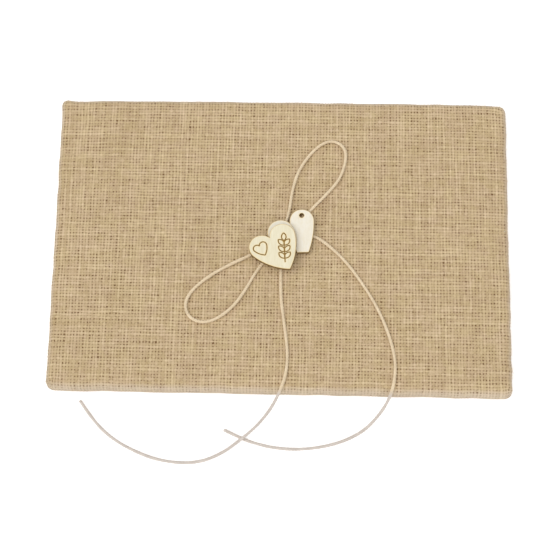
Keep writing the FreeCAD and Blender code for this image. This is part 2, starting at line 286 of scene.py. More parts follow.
def twine_material():
    """Soft pale twine, with fibres that run along each ply. Past the front edge it has painted shade: it is
    painted greyer where it lies on the table.
    """
    m = Nodes("twine", roughness=0.9, specular=0.12)
    along, around, ply = m.attribute("strand")
    fibre = m.noise(m.join(m.times(along, 0.8), m.times(around, 3.0), ply), 1.0, 3.0)
    mottle = m.noise(m.join(m.times(along, 0.16), 0.0, 0.0), 1.0, 2.0)
    tone = m.plus(m.times(fibre, 0.5), m.times(mottle, 0.5))
    colour = m.blend(m.span(tone, 0.3, 0.7), srgb(212, 192, 160), srgb(240, 222, 192))
    _, forward, _ = m.split(m.place())
    # Painted shade: a greyer tone for the twine past the front edge, over the table.
    shaded_on_table = m.blend(m.span(tone, 0.3, 0.7), srgb(192, 182, 174), srgb(220, 211, 203))
    colour = m.blend(m.span(forward, GREY_FROM, WARM_TO, 1.0, 0.0), colour, shaded_on_table)
    m.shader.inputs["Sheen Weight"].default_value = 0.15
    return m.finish(colour, fibre, 0.08 * MM, 0.7)


def wood_material(name, face, grain, top, whitewash):
    """Thin laser-cut sheet: pale face with grain, dark cut edges, brown grooves, and a warm rim
    beside them. top is the height of its face."""
    m = Nodes(name, roughness=0.62, specular=0.3)
    spot = m.place()
    _, _, height = m.split(spot)
    _, _, facing = m.split(m.add("ShaderNodeNewGeometry").outputs["Normal"])
    streak = m.noise(m.scaled(spot, (2600.0, 190.0, 900.0), 0.5), 1.0, 4.0, 0.6)
    figure = m.noise(m.scaled(spot, (420.0, 60.0, 300.0), 0.5), 1.0, 2.0, 0.5)
    tone = m.plus(m.times(streak, 0.6), m.times(figure, 0.4))
    colour = m.blend(m.span(tone, 0.36, 0.66), grain, face)
    if whitewash:
        wash = m.noise(m.scaled(spot, (700.0, 240.0, 500.0), 0.5), 1.0, 3.0, 0.65)
        colour = m.blend(m.span(wash, 0.30, 0.62, 0.35, 0.95), colour, whitewash)
    rounded = m.add("ShaderNodeBevel", samples=6)
    rounded.inputs["Radius"].default_value = WOOD_RIM
    _, _, bent = m.split(rounded.outputs[0])
    rim = m.span(m.calculate("ABSOLUTE", bent), 0.92, 1.0, 0.95, 0.0)
    colour = m.blend(rim, colour, srgb(238, 211, 154))
    side = m.span(m.calculate("ABSOLUTE", facing), 0.45, 0.75, 1.0, 0.0)
    sunk = m.span(height, top - 0.16 * MM, top - 0.05 * MM, 1.0, 0.0)
    upward = m.span(facing, 0.4, 0.6)
    soot = m.noise(spot, 1900.0, 2.0)
    groove = m.blend(m.span(soot, 0.35, 0.65), srgb(160, 128, 66), srgb(134, 102, 46))
    edge = m.blend(m.span(soot, 0.35, 0.65), srgb(136, 108, 64), srgb(112, 88, 50))
    colour = m.blend(m.times(sunk, upward), colour, groove)
    colour = m.blend(side, colour, edge)
    return m.finish(colour, streak, 0.03 * MM, 0.35)


def lining_material():
    """Fine cotton: two crossed sets of thin threads."""
    m = Nodes("lining", roughness=0.9, specular=0.15)
    x, y, z = m.split(m.place())
    step = 2.0 * math.pi / (0.45 * MM)
    rows = m.calculate("SINE", m.times(m.plus(x, z), step))
    columns = m.calculate("SINE", m.times(m.plus(y, z), step))
    weave = m.times(rows, columns)
    cloud = m.noise(m.place(), 60.0, 3.0)
    colour = m.blend(m.span(weave, -1.0, 1.0), srgb(222, 214, 196), srgb(240, 234, 219))
    colour = m.blend(m.span(cloud, 0.3, 0.7, 0.0, 0.4), colour, srgb(230, 220, 200))
    return m.finish(colour, weave, 0.05 * MM, 0.6)


def foam_material():
    """Open-cell foam."""
    m = Nodes("foam", roughness=0.95, specular=0.1)
    cells = m.add("ShaderNodeTexVoronoi")
    cells.inputs["Scale"].default_value = 900.0
    m.feed(cells.inputs["Vector"], m.place())
    colour = m.blend(m.span(cells.outputs["Distance"], 0.0, 0.6), srgb(214, 206, 172), srgb(240, 235, 210))
    return m.finish(colour, cells.outputs["Distance"], 0.3 * MM, 0.7)


def board_material():
    """Grey card with short fibres in it."""
    m = Nodes("board", roughness=0.85, specular=0.2)
    fibre = m.noise(m.scaled(m.place(), (500.0, 1500.0, 800.0), 0.3), 1.0, 4.0, 0.7)
    colour = m.blend(m.span(fibre, 0.35, 0.65), srgb(150, 138, 120), srgb(188, 176, 156))
    return m.finish(colour, fibre, 0.05 * MM, 0.4)


def thread_material():
    """Sewing thread with its plies as fine slanting lines."""
    m = Nodes("thread", roughness=0.7, specular=0.3)
    x, y, z = m.split(m.place())
    slant = m.plus(m.plus(x, y), m.times(z, 1.6))
    twist = m.calculate("SINE", m.times(slant, 9000.0))
    colour = m.blend(m.span(twist, -1.0, 1.0), srgb(196, 170, 130), srgb(226, 204, 166))
    return m.finish(colour, twist, 0.04 * MM, 0.6)


def fibre_material():
    """Single jute fibres, pale and a little glossy."""
    m = Nodes("fibre", roughness=0.6, specular=0.3)
    across, along, _ = m.attribute("strand")
    tone = m.random(m.plus(across, m.times(along, 7.7)))
    return m.finish(m.blend(tone, srgb(190, 160, 116), srgb(232, 214, 180)))


def glue_material():
    """Hot glue: cloudy, pale and smooth."""
    m = Nodes("glue", roughness=0.35, specular=0.45)
    cloud = m.noise(m.place(), 700.0, 2.0)
    colour = m.blend(m.span(cloud, 0.3, 0.7), srgb(224, 218, 198), srgb(240, 236, 222))
    return m.finish(colour, cloud, 0.1 * MM, 0.3)


def floor_material():
    """Matt white sheet with the faintest mottle, lit from below like a light table."""
    m = Nodes("floor", roughness=0.9, specular=0.1)
    cloud = m.noise(m.place(), 6.0, 2.0)
    m.shader.inputs["Emission Color"].default_value = (1.0, 1.0, 1.0, 1.0)
    m.shader.inputs["Emission Strength"].default_value = FLOOR_LIGHT
    return m.finish(m.blend(m.span(cloud, 0.3, 0.7), srgb(249, 249, 249), srgb(251, 251, 251)))


# ---------------------------------------------------------------- meshes

def add_mesh(name, points, faces, material, vectors=(), smooth=True):
    """A mesh object. vectors is [(attribute name, a vector for each point)]."""
    mesh = bpy.data.meshes.new(name)
    mesh.from_pydata(points, [], faces)
    for label, values in vectors:
        stored = mesh.attributes.new(label, "FLOAT_VECTOR", "POINT")
        stored.data.foreach_set("vector", np.asarray(values, np.float32).ravel())
    mesh.materials.append(material)
    mesh.polygons.foreach_set("use_smooth", [smooth] * len(mesh.polygons))
    mesh.update()
    piece = bpy.data.objects.new(name, mesh)
    scene.collection.objects.link(piece)
    return piece


def belongs(piece, slot, *replaced):
    """The piece rides with the object and stands for its CAD nodes, which it hides. slot is not used."""
    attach(piece, "root")
    if replaced:
        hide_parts(*replaced)


def carried_frames(points):
    """Directions along a line and two across it that turn with it and don't spin."""
    points = np.asarray(points, float)
    ahead = np.gradient(points, axis=0)
    ahead /= np.linalg.norm(ahead, axis=1)[:, None]
    first = np.cross(ahead[0], (0.0, 0.0, 1.0))
    if np.linalg.norm(first) < 0.1:
        first = np.cross(ahead[0], (1.0, 0.0, 0.0))
    side = np.zeros_like(points)
    side[0] = first / np.linalg.norm(first)
    for i in range(1, len(points)):
        turned = side[i - 1] - ahead[i] * np.dot(side[i - 1], ahead[i])
        side[i] = turned / np.linalg.norm(turned)
    return points, ahead, side, np.cross(ahead, side)


def add_tube(points, faces, line, radii, sides):
    """Adds a closed tube along a line to lists of points and faces."""
    line, _, side, over = carried_frames(line)
    start = len(points)
    for at, u, v, radius in zip(line, side, over, radii):
        for k in range(sides):
            angle = 2 * math.pi * k / sides
            points.append(tuple(at + radius * (math.cos(angle) * u + math.sin(angle) * v)))
    for i in range(len(line) - 1):
        for k in range(sides):
            a, b = start + i * sides + k, start + i * sides + (k + 1) % sides
            faces.append((a, b, b + sides, a + sides))
    last = start + (len(line) - 1) * sides
    faces.append(tuple(range(start + sides - 1, start - 1, -1)))
    faces.append(tuple(range(last, last + sides)))


# ---------------------------------------------------------------- the twine

TWINE = 1.7 * MM
PLIES = 3
PLY_RADIUS = 0.49 * MM
PLY_OFFSET = 0.41 * MM
TWIST_LENGTH = 5.2 * MM
PLY_SIDES = 8
HAIRS_PER_METRE = 1500
LUMP_SPACING = 5.0 * MM
LUMP_SHARE = 0.11
HAIR_RADIUS = 0.03 * MM
PLY_LOWEST = 0.02 * MM
HAIR_LOWEST = 0.05 * MM
KNOT_TURNS = 2.1
KNOT_STEPS = 90
KNOT_REACH = 2.35 * MM
KNOT_TAPER = 0.5 * MM

ON_PAD = 11.9 * MM
ON_TABLE = 0.9 * MM

UPPER_LOOP = [
    (0.00054, 0.00305, ON_PAD),
    (0.00161, 0.00916, ON_PAD),
    (0.0039, 0.0178, ON_PAD + 0.0001),
    (0.0049, 0.0285, ON_PAD + 0.0007),
    (0.0080, 0.0415, ON_PAD + 0.0004),
    (0.0148, 0.0530, ON_PAD + 0.0001),
    (0.0224, 0.0603, ON_PAD),
    (0.0294, 0.0609, ON_PAD + 0.0001),
    (0.0346, 0.0560, ON_PAD + 0.0004),
    (0.0347, 0.0480, ON_PAD + 0.0007),
    (0.0317, 0.0378, ON_PAD + 0.0009),
    (0.0250, 0.0290, ON_PAD + 0.0006),
    (0.0146, 0.0179, ON_PAD),
    (0.00658, 0.00658, ON_PAD),
    (0.00219, 0.00219, ON_PAD),
]
LOWER_LOOP = [
    (-0.00295, -0.00096, ON_PAD),
    (-0.00884, -0.00287, ON_PAD),
    (-0.0170, -0.0086, ON_PAD + 0.0001),
    (-0.0275, -0.0140, ON_PAD + 0.0005),
    (-0.0385, -0.0208, ON_PAD + 0.0008),
    (-0.0483, -0.0294, ON_PAD + 0.0005),
    (-0.0520, -0.0373, ON_PAD + 0.0002),
    (-0.0496, -0.0449, ON_PAD),
    (-0.0425, -0.0483, ON_PAD),
    (-0.0345, -0.0462, ON_PAD + 0.0002),
    (-0.0255, -0.0389, ON_PAD + 0.0006),
    (-0.0188, -0.0286, ON_PAD + 0.0008),
    (-0.0131, -0.0169, ON_PAD + 0.0002),
    (-0.00560, -0.00743, ON_PAD),
    (-0.00187, -0.00248, ON_PAD),
]
LEFT_TAIL = [
    (0.0, -0.0031, ON_PAD),
    (0.0, -0.0093, ON_PAD),
    (-0.0002, -0.0195, ON_PAD + 0.0001),
    (0.0002, -0.0340, ON_PAD),
    (0.0026, -0.0500, ON_PAD + 0.0001),
    (0.0047, -0.0660, ON_PAD + 0.0001),
    (0.0036, -0.0775, ON_PAD + 0.0001),
    (0.0008, -0.0858, ON_PAD + 0.0003),
    (-0.0018, -0.0906, 0.0088),
    (-0.0056, -0.0962, 0.0054),
    (-0.0118, -0.1036, 0.0040),
    (-0.0198, -0.1107, 0.0035),
    (-0.0290, -0.1174, 0.0013),
    (-0.0396, -0.1222, ON_TABLE),
    (-0.0505, -0.1234, ON_TABLE),
    (-0.0635, -0.1218, ON_TABLE),
    (-0.0755, -0.1175, ON_TABLE),
    (-0.0880, -0.1108, ON_TABLE),
    (-0.0988, -0.1010, ON_TABLE),
    (-0.1066, -0.0897, ON_TABLE),
]
RIGHT_TAIL = [
    (0.00305, 0.00054, ON_PAD),
    (0.00916, 0.00161, ON_PAD),
    (0.0166, 0.0044, ON_PAD),
    (0.0256, -0.0018, ON_PAD + 0.0002),
    (0.0356, -0.0117, ON_PAD),
    (0.0446, -0.0245, ON_PAD + 0.0001),
    (0.0526, -0.0380, ON_PAD),
    (0.0588, -0.0532, ON_PAD + 0.0001),
    (0.0622, -0.0675, ON_PAD + 0.0001),
    (0.0618, -0.0785, ON_PAD + 0.0001),
    (0.0599, -0.0862, ON_PAD + 0.0003),
    (0.0574, -0.0910, 0.0082),
    (0.0536, -0.0960, 0.0041),
    (0.0464, -0.1035, 0.0011),
    (0.0360, -0.1095, ON_TABLE),
    (0.0240, -0.1132, ON_TABLE),
    (0.0105, -0.1149, ON_TABLE),
    (-0.0025, -0.1141, ON_TABLE),
    (-0.0140, -0.1113, ON_TABLE),
    (-0.0218, -0.1080, ON_TABLE),
    (-0.0288, -0.1046, ON_TABLE),
]


def along_route(route):
    """Points along the smooth curve whose control points are the route's."""
    curve = bpy.data.curves.new("route", "CURVE")
    curve.dimensions = "3D"
    curve.resolution_u = 24
    spline = curve.splines.new("NURBS")
    spline.points.add(len(route) - 1)
    for point, at in zip(spline.points, route):
        point.co = (*at, 1.0)
    spline.order_u = 3
    spline.use_endpoint_u = True
    holder = bpy.data.objects.new("route", curve)
    mesh = bpy.data.meshes.new_from_object(holder)
    line = [tuple(v.co) for v in mesh.vertices]
    bpy.data.objects.remove(holder)
    bpy.data.curves.remove(curve)
    bpy.data.meshes.remove(mesh)
    return line


def plied(name, line, material, seed):
    """Twine along a line: plies that wind round each other, and fine hairs."""
    chance = np.random.default_rng(seed)
    line, ahead, side, over = carried_frames(line)
    steps = np.linalg.norm(np.diff(line, axis=0), axis=1)
    run = np.concatenate(([0.0], np.cumsum(steps)))
    points, faces, strand = [], [], []
    lumps = np.arange(0.0, run[-1] + 2 * LUMP_SPACING, LUMP_SPACING)
    swell = 1.0 + LUMP_SHARE * np.interp(run, lumps, chance.uniform(-1, 1, len(lumps)))
    for ply in range(PLIES):
        angle = 2 * math.pi * (run / TWIST_LENGTH + ply / PLIES)
        way = np.cos(angle)[:, None] * side + np.sin(angle)[:, None] * over
        centre = line + PLY_OFFSET * swell[:, None] * way
        start = len(points)
        for i, at in enumerate(centre):
            for k in range(PLY_SIDES):
                turn = 2 * math.pi * k / PLY_SIDES
                out = math.cos(turn) * side[i] + math.sin(turn) * over[i]
                x, y, z = at + PLY_RADIUS * swell[i] * out
                points.append((x, y, max(z, PLY_LOWEST)))
                around = k if k <= PLY_SIDES / 2 else PLY_SIDES - k
                strand.append((run[i] / MM, around, ply * 9.0))
        for i in range(len(centre) - 1):
            for k in range(PLY_SIDES):
                a, b = start + i * PLY_SIDES + k, start + i * PLY_SIDES + (k + 1) % PLY_SIDES
                faces.append((a, b, b + PLY_SIDES, a + PLY_SIDES))
        last = start + (len(centre) - 1) * PLY_SIDES
        faces.append(tuple(range(start + PLY_SIDES - 1, start - 1, -1)))
        faces.append(tuple(range(last, last + PLY_SIDES)))
    for _ in range(int(run[-1] * HAIRS_PER_METRE)):
        i = int(chance.integers(2, len(line) - 2))
        turn = chance.uniform(0, 2 * math.pi)
        out = math.cos(turn) * side[i] + math.sin(turn) * over[i]
        lean = ahead[i] * chance.uniform(-1.5, 1.5)
        root = line[i] + out * 0.6 * MM
        length = chance.uniform(0.3, 0.8) * MM
        hair = [root, root + (out + 0.6 * lean) * length * 0.6, root + (0.8 * out + 1.4 * lean) * length]
        hair = [np.array((x, y, max(z, HAIR_LOWEST))) for x, y, z in hair]
        before = len(points)
        add_tube(points, faces, hair, (HAIR_RADIUS, HAIR_RADIUS, HAIR_RADIUS * 0.4), 3)
        strand += [(run[i] / MM, 2.0, 4.0)] * (len(points) - before)
    return add_mesh(name, points, faces, material, [("strand", strand)])


def make_twine():
    """The bow: the knot, two loops that go back into it and two tails with cut ends."""
    twine = twine_material()
    low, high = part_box("bow_knot")
    wraps = []
    bottom, top = low.z + 0.5 * TWINE, high.z - 0.5 * TWINE
    for i in range(KNOT_STEPS + 1):
        share = i / KNOT_STEPS
        angle = math.radians(60.0) + 2 * math.pi * KNOT_TURNS * share
        climb = min(max((share - 0.1) / 0.8, 0.0), 1.0)
        reach = KNOT_REACH - KNOT_TAPER * share
        wraps.append((reach * math.cos(angle), reach * math.sin(angle), bottom + (top - bottom) * climb))
    knot = plied("knot_wraps", wraps, twine, 11)
    belongs(knot, "twine", "bow_knot")
    for seed, (node, route, length, far_end) in enumerate((
            ("upper_loop", UPPER_LOOP, 0.141, "object"),
            ("lower_loop", LOWER_LOOP, 0.140, "object"),
            ("left_tail", LEFT_TAIL, 0.220, "bare"),
            ("right_tail", RIGHT_TAIL, 0.224, "bare"))):
        line = along_route(route)
        piece = plied("twine_" + node, line, twine, 20 + seed)
        belongs(piece, "twine", node)


# ---------------------------------------------------------------- the burlap cover

WARPS = 152
WEFTS = 100
CAGE_STEP = 4
EDGE_ROLL = 0.85 * MM
TOP_ROUND = 3.5 * MM
BOTTOM_ROUND = 3.0 * MM
PLAN_ROUND = 5.2 * MM
PLAN_FADE = 14.0 * MM
CLOTH = 0.5 * MM
CROWN = 0.2 * MM
HOLLOW = 0.20 * MM
SEAM_STEPS = 9
DRIFT_SPACING = 9
DRIFT_FIXED = 0.12 * MM
DRIFT_SLOW = 0.24 * MM
SLUBS = 260
CLOSING_STITCHES = 15
FIBRES = 900
START_SCALE = (0.992, 0.988, 0.82)
PRESSURE_STEPS = 20

panel_low, panel_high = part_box("front_panel")
base_low, base_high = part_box("back_panel")
SEAM = panel_low.z
EDGE_X = panel_high.x - CROWN
EDGE_Y = panel_high.y - CROWN


def side_profile(rounding, reach):
    """Cloth distance from the seam, distance in from the outline and distance from the seam's
    level, from the seam out round the rolled edge, along the side and over the rounded edge."""
    quarter = np.linspace(0.0, math.pi / 2, 16)
    inset = np.concatenate((EDGE_ROLL * (1 - np.sin(quarter)), rounding * (1 - np.cos(quarter))))
    level = np.concatenate((EDGE_ROLL * (1 - np.cos(quarter)),
                            reach - rounding + rounding * np.sin(quarter)))
    run = np.concatenate(([0.0], np.cumsum(np.hypot(np.diff(inset), np.diff(level)))))
    return run, inset, level


def lattice(side, top):
    """Positions of the cloth over a grid of half threads. side is +1 for the front, -1 for the back."""
    front_run, _, _ = side_profile(TOP_ROUND, panel_high.z - CROWN - SEAM)
    spare = front_run[-1] - TOP_ROUND
    rounding = TOP_ROUND if side > 0 else BOTTOM_ROUND
    run, inset, level = side_profile(rounding, abs(top - SEAM))
    run = run * (rounding + spare) / run[-1]
    half_s, half_t = EDGE_X + spare, EDGE_Y + spare
    s = np.linspace(-half_s, half_s, 2 * WARPS + 1)
    t = np.linspace(-half_t, half_t, 2 * WEFTS + 1)
    a, b = np.meshgrid(np.abs(s), np.abs(t), indexing="ij")
    depth = np.minimum(half_s - a, half_t - b)
    beyond = np.maximum(depth - run[-1], 0.0)
    inward = np.interp(depth, run, inset) + beyond
    height = SEAM + side * np.interp(depth, run, level)
    radius = PLAN_ROUND * np.clip(1 - depth / PLAN_FADE, 0.0, 1.0)
    on_side = (half_s - a) <= (half_t - b)
    along = np.where(on_side, b, a)
    ring_end = np.where(on_side, half_t, half_s) - depth
    straight = np.where(on_side, EDGE_Y, EDGE_X) - inward - radius
    across = np.where(on_side, EDGE_X, EDGE_Y) - inward
    leg = np.maximum(ring_end - straight, 1e-9)
    turn = np.clip((along - straight) / leg, 0.0, 1.0) * math.pi / 4
    run_out = np.minimum(along, straight) + radius * np.sin(turn)
    off = across - radius * (1 - np.cos(turn))
    x = np.where(on_side, off, run_out) * np.sign(s)[:, None]
    y = np.where(on_side, run_out, off) * np.sign(t)[None, :]
    return np.stack((x, y, height), axis=-1)


def simulated(front, back):
    """How far the filled cover moves, at every CAGE_STEP-th point of each panel: a cloth
    simulation of the closed cover under pressure, from a slightly smaller start."""
    shapes = [panel[::CAGE_STEP, ::CAGE_STEP] for panel in (front, back)]
    columns, rows = shapes[0].shape[:2]
    small = np.array(START_SCALE)
    centre = np.array((0.0, 0.0, SEAM))
    number = np.arange(columns * rows).reshape(columns, rows)
    under = np.full((columns, rows), -1)
    under[0, :], under[-1, :] = number[0], number[-1]
    under[:, 0], under[:, -1] = number[:, 0], number[:, -1]
    points = list(((shapes[0] - centre) * small + centre).reshape(-1, 3))
    lower = (shapes[1] - centre) * small + centre
    for i in range(1, columns - 1):
        for j in range(1, rows - 1):
            under[i, j] = len(points)
            points.append(lower[i, j])
    faces = []
    for i in range(columns - 1):
        for j in range(rows - 1):
            faces.append((number[i, j], number[i + 1, j], number[i + 1, j + 1], number[i, j + 1]))
            faces.append((under[i, j], under[i, j + 1], under[i + 1, j + 1], under[i + 1, j]))
    mesh = bpy.data.meshes.new("cage")
    mesh.from_pydata([tuple(p) for p in points], [], [tuple(int(v) for v in f) for f in faces])
    cage = bpy.data.objects.new("cage", mesh)
    scene.collection.objects.link(cage)
    cloth = cage.modifiers.new("Cloth", "CLOTH")
    cloth.settings.quality = 5
    cloth.settings.mass = 0.3
    cloth.settings.tension_stiffness = 25.0
    cloth.settings.compression_stiffness = 25.0
    cloth.settings.shear_stiffness = 10.0
    cloth.settings.bending_stiffness = 1.5
    cloth.settings.use_pressure = True
    cloth.settings.uniform_pressure_force = 4.0
    cloth.settings.effector_weights.gravity = 0.0
    cloth.point_cache.frame_start = 1
    cloth.point_cache.frame_end = PRESSURE_STEPS
    for step in range(1, PRESSURE_STEPS + 1):
        scene.frame_set(step)
    shown = cage.evaluated_get(bpy.context.evaluated_depsgraph_get()).data
    after = np.zeros(len(shown.vertices) * 3, np.float32)
    shown.vertices.foreach_get("co", after)
    after = after.reshape(-1, 3)
    scene.frame_set(1)
    bpy.data.objects.remove(cage)
    bpy.data.meshes.remove(mesh)
    return after[number] - shapes[0], after[under] - shapes[1]


# How far the simulated filling may move the cover, and the move at which that is nearly reached
PULL_CAP = 0.40 * MM
PULL_SCALE = 6.0 * MM
CROWN_CAP = 0.35 * MM
CROWN_SCALE = 5.0 * MM

# How the cut differs from a rectangle
BACK_BOW = 1.25 * MM
BACK_OUT = 0.65 * MM
BACK_SKEW = 0.4 * MM
FRONT_DROP = 0.55 * MM
LEFT_WIDENING = 1.4 * MM
EDGE_WAVER = 0.28 * MM
CORNER_SPUR = 0.9 * MM


def finer(coarse):
    """A coarse grid's values at every point of the lattice between."""
    for axis in (0, 1):
        count = coarse.shape[axis]
        at = np.arange(CAGE_STEP * (count - 1) + 1) / CAGE_STEP
        lower = np.minimum(at.astype(int), count - 2)
        share = (at - lower).reshape([-1 if a == axis else 1 for a in range(3)])
        coarse = np.take(coarse, lower, axis) * (1 - share) + np.take(coarse, lower + 1, axis) * share
    return coarse


def from_seam(shape):
    """Share of the way from the seam (0) to the flat part (1)."""
    columns, rows = shape
    i, j = np.meshgrid(np.arange(columns), np.arange(rows), indexing="ij")
    steps = np.minimum(np.minimum(i, columns - 1 - i), np.minimum(j, rows - 1 - j))
    return np.clip(steps / SEAM_STEPS, 0.0, 1.0)


def capped(moves, side):
    """The simulated moves, held small by the board and the foam. The seam stays level."""
    moves = finer(moves)
    share = from_seam(moves.shape[:2])
    move = PULL_CAP * np.tanh(moves / PULL_SCALE)
    move *= (1.0 - 0.45 * share)[:, :, None]
    rise = np.tanh(side * moves[:, :, 2] / CROWN_SCALE) - 1.0
    move[:, :, 2] = side * CROWN_CAP * rise * share
    return move


def as_cut(middle):
    """The cover's cut isn't quite a rectangle: the back edge bows out, the left side widens
    towards the back, the front edge drops towards the right and one corner sticks out. Its
    edges also waver a little."""
    u, v = middle[:, :, 0] / EDGE_X, middle[:, :, 1] / EDGE_Y
    back, front = np.clip(v, 0, 1) ** 3, np.clip(-v, 0, 1) ** 3
    left, right = np.clip(-u, 0, 1) ** 3, np.clip(u, 0, 1) ** 3
    chance = np.random.default_rng(41)

    def waver(place):
        """A slow random curve along an edge, from -1 to 1, where place runs from -1 to 1."""
        return np.interp(place, np.linspace(-1.05, 1.05, 30), chance.uniform(-1, 1, 30))

    middle[:, :, 1] += back ** 3 * EDGE_WAVER * waver(u) - front ** 3 * EDGE_WAVER * waver(u)
    middle[:, :, 0] += right ** 3 * EDGE_WAVER * waver(v) - left ** 3 * EDGE_WAVER * waver(v)
    middle[:, :, 1] += back * (BACK_BOW * (1 - u ** 4) + BACK_OUT + BACK_SKEW * u)
    middle[:, :, 1] -= front * FRONT_DROP * (1 + 0.6 * u)
    middle[:, :, 0] -= left * LEFT_WIDENING * (0.5 + 0.5 * v)
    spur = np.exp(-((u + 0.985) / 0.035) ** 2 - ((v - 0.98) / 0.05) ** 2)
    middle[:, :, 1] += spur * CORNER_SPUR
    middle[:, :, 0] -= 0.5 * spur * CORNER_SPUR


def wander(chance, threads, places):
    """How far each thread lies from its even place: one part is fixed, one changes along it."""
    knots = np.arange(-DRIFT_SPACING, places + 2 * DRIFT_SPACING, DRIFT_SPACING)
    slow = chance.uniform(-1, 1, (threads, len(knots)))
    wave = np.array([np.interp(np.arange(places), knots, row) for row in slow])
    return DRIFT_FIXED * chance.uniform(-1, 1, (threads, 1)) + DRIFT_SLOW * wave


def spread_out(shift, pitch):
    """Each thread's shift on the whole lattice, and how much wider than even each gap is."""
    threads, places = shift.shape
    whole, gap = np.zeros((2, 2 * threads + 1, places))
    whole[1::2] = shift
    whole[2:-1:2] = (shift[1:] + shift[:-1]) / 2
    gap[2:-1:2] = (shift[1:] - shift[:-1]) / pitch
    gap[1::2] = (gap[0:-1:2] + gap[2::2]) / 2
    return whole, gap


def thread_relief(chance, gap_x, gap_y):
    """Height of the cloth over its middle surface: high where threads cross, low in the holes."""
    columns, rows = gap_x.shape
    relief = np.full((columns, rows), 0.15 * CROWN)
    thick = 0.78 + 0.22 * chance.uniform(0, 1, (columns // 2, rows // 2))
    relief[1::2, 1::2] = CROWN * thick
    wide = gap_x[::2, ::2] + gap_y[::2, ::2]
    open_holes = chance.uniform(0.1, 1.0, wide.shape)
    relief[::2, ::2] = -HOLLOW * open_holes * np.clip(0.8 + 0.8 * wide, 0.3, 1.2)
    for _ in range(SLUBS):
        i, j = 2 * chance.integers(8, columns // 2 - 8) + 1, 2 * chance.integers(8, rows // 2 - 8) + 1
        reach = int(chance.integers(3, 9))
        lift = CROWN * chance.uniform(0.35, 0.8)
        bulge = lift * np.cos(np.linspace(-1.4, 1.4, 2 * reach + 1)) ** 2
        if chance.uniform() < 0.6:
            relief[i - reach:i + reach + 1, j] += bulge[:relief[i - reach:i + reach + 1, j].size]
        else:
            relief[i, j - reach:j + reach + 1] += bulge[:relief[i, j - reach:j + reach + 1].size]
    return np.minimum(relief, CROWN) * np.clip(from_seam((columns, rows)) * 4.0, 0.0, 1.0)


def unit(vectors):
    """The vectors at length 1."""
    return vectors / np.maximum(np.linalg.norm(vectors, axis=-1, keepdims=True), 1e-12)


def rim_of(number):
    """The numbers round the border of a grid, anticlockwise, ending on the first."""
    return np.concatenate((number[:-1, 0], number[-1, :-1], number[:0:-1, -1], number[0, :0:-1],
                           number[:1, 0]))


def make_panel(name, node, side, middle, material, seed):
    """One burlap panel: a closed skin, woven on its outside, plain on its inside."""
    chance = np.random.default_rng(seed)
    columns, rows = middle.shape[:2]
    pitch_x = 2 * EDGE_X / WARPS
    pitch_y = 2 * EDGE_Y / WEFTS
    shift_x, gap_x = spread_out(wander(chance, WARPS, rows), pitch_x)
    shift_y, gap_y = spread_out(wander(chance, WEFTS, columns), pitch_y)
    shift_y, gap_y = shift_y.T, gap_y.T
    ahead_x, ahead_y = unit(np.gradient(middle, axis=0)), unit(np.gradient(middle, axis=1))
    outward = unit(np.cross(ahead_x, ahead_y)) * side
    calm = np.clip(from_seam((columns, rows)) * 3.0, 0.0, 1.0)
    outer = middle + ahead_x * (shift_x * calm)[:, :, None] + ahead_y * (shift_y * calm)[:, :, None]
    outer += outward * thread_relief(chance, gap_x, gap_y)[:, :, None]
    inner = (middle - outward * CLOTH)[::CAGE_STEP, ::CAGE_STEP]
    weave = np.zeros_like(middle)
    weave[:, :, 0] = np.arange(columns)[:, None] / 2
    weave[:, :, 1] = np.arange(rows)[None, :] / 2
    gaps = np.stack((gap_x, gap_y, 1.0 - from_seam((columns, rows))), axis=-1)
    number = np.arange(columns * rows).reshape(columns, rows)
    inside = columns * rows + np.arange(inner.shape[0] * inner.shape[1]).reshape(inner.shape[:2])
    faces = quads(number) + [face[::-1] for face in quads(inside)]
    border, inside_border = rim_of(number), rim_of(inside)
    for i in range(len(inside_border) - 1):
        strip = border[i * CAGE_STEP:(i + 1) * CAGE_STEP + 1][::-1]
        faces.append((*strip, inside_border[i], inside_border[i + 1]))
    if side < 0:
        faces = [face[::-1] for face in faces]
    faces = [tuple(int(v) for v in face) for face in faces]

    def both(values):
        """The values at the outside's points and then at the inside's."""
        return np.concatenate((values.reshape(-1, 3), values[::CAGE_STEP, ::CAGE_STEP].reshape(-1, 3)))

    points = np.concatenate((outer.reshape(-1, 3), inner.reshape(-1, 3)))
    stored = [("weave", both(weave)), ("gaps", both(gaps))]
    piece = add_mesh(name, points.tolist(), faces, material, stored)
    belongs(piece, "burlap", node)
    return outer, outward


def quads(number):
    """The four-sided faces of a grid of point numbers."""
    grid = np.stack((number[:-1, :-1], number[1:, :-1], number[1:, 1:], number[:-1, 1:]), axis=-1)
    return [tuple(face) for face in grid.reshape(-1, 4)]


def make_seam(rim, material):
    """The seam's thread in the crease between the panels, dipping at each stitch."""
    steps = np.linalg.norm(np.diff(rim, axis=0), axis=1)
    run = np.concatenate(([0.0], np.cumsum(steps)))
    count = int(run[-1] / (0.75 * MM)) // 4 * 4
    along = np.linspace(0.0, run[-1], count + 1)
    line = np.stack([np.interp(along, run, rim[:, axis]) for axis in range(3)], axis=-1)
    line[:, 2] += 0.2 * MM * np.sin(np.arange(count + 1) * math.pi / 2)
    points, faces = [], []
    add_tube(points, faces, line, [0.24 * MM] * (count + 1), 6)
    belongs(add_mesh("seam_thread", points, faces, material), "thread", "edge_seam")


